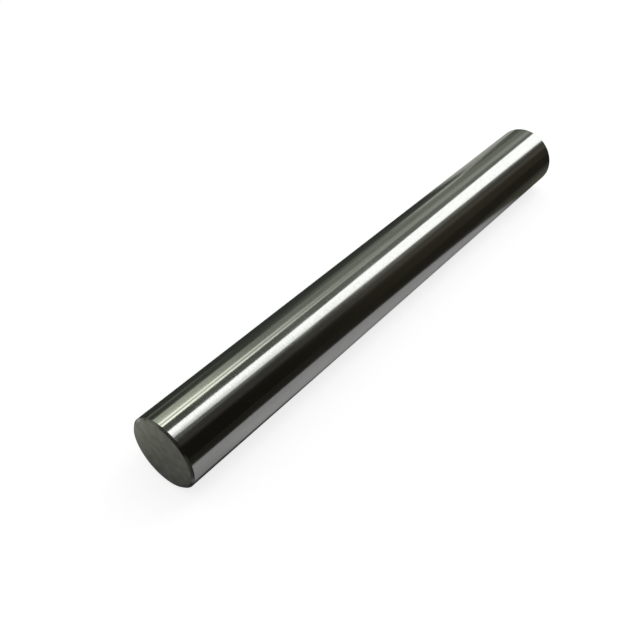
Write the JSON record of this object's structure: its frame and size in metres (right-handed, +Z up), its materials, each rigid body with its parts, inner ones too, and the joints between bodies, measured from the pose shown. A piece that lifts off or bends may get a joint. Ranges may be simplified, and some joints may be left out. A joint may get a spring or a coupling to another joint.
{
  "type": "stainless steel round bar",
  "caption": "Straight solid round bar of bright ground stainless steel stock, with square-faced ends and chamfered end edges.",
  "frame": {"origin": "point on the floor under the middle of the bar's length", "axes": "+X along the bar's axis, towards the end that is farther away in the picture; +Z up from the floor that the bar lies on"},
  "size_m": [0.3, 0.035, 0.035],
  "materials": {
    "ground_steel": "bright ground and polished round surface, matte faced ends"
  },
  "bodies": {
    "root": {"round_bar": "ground_steel"}
  },
  "joints": []
}
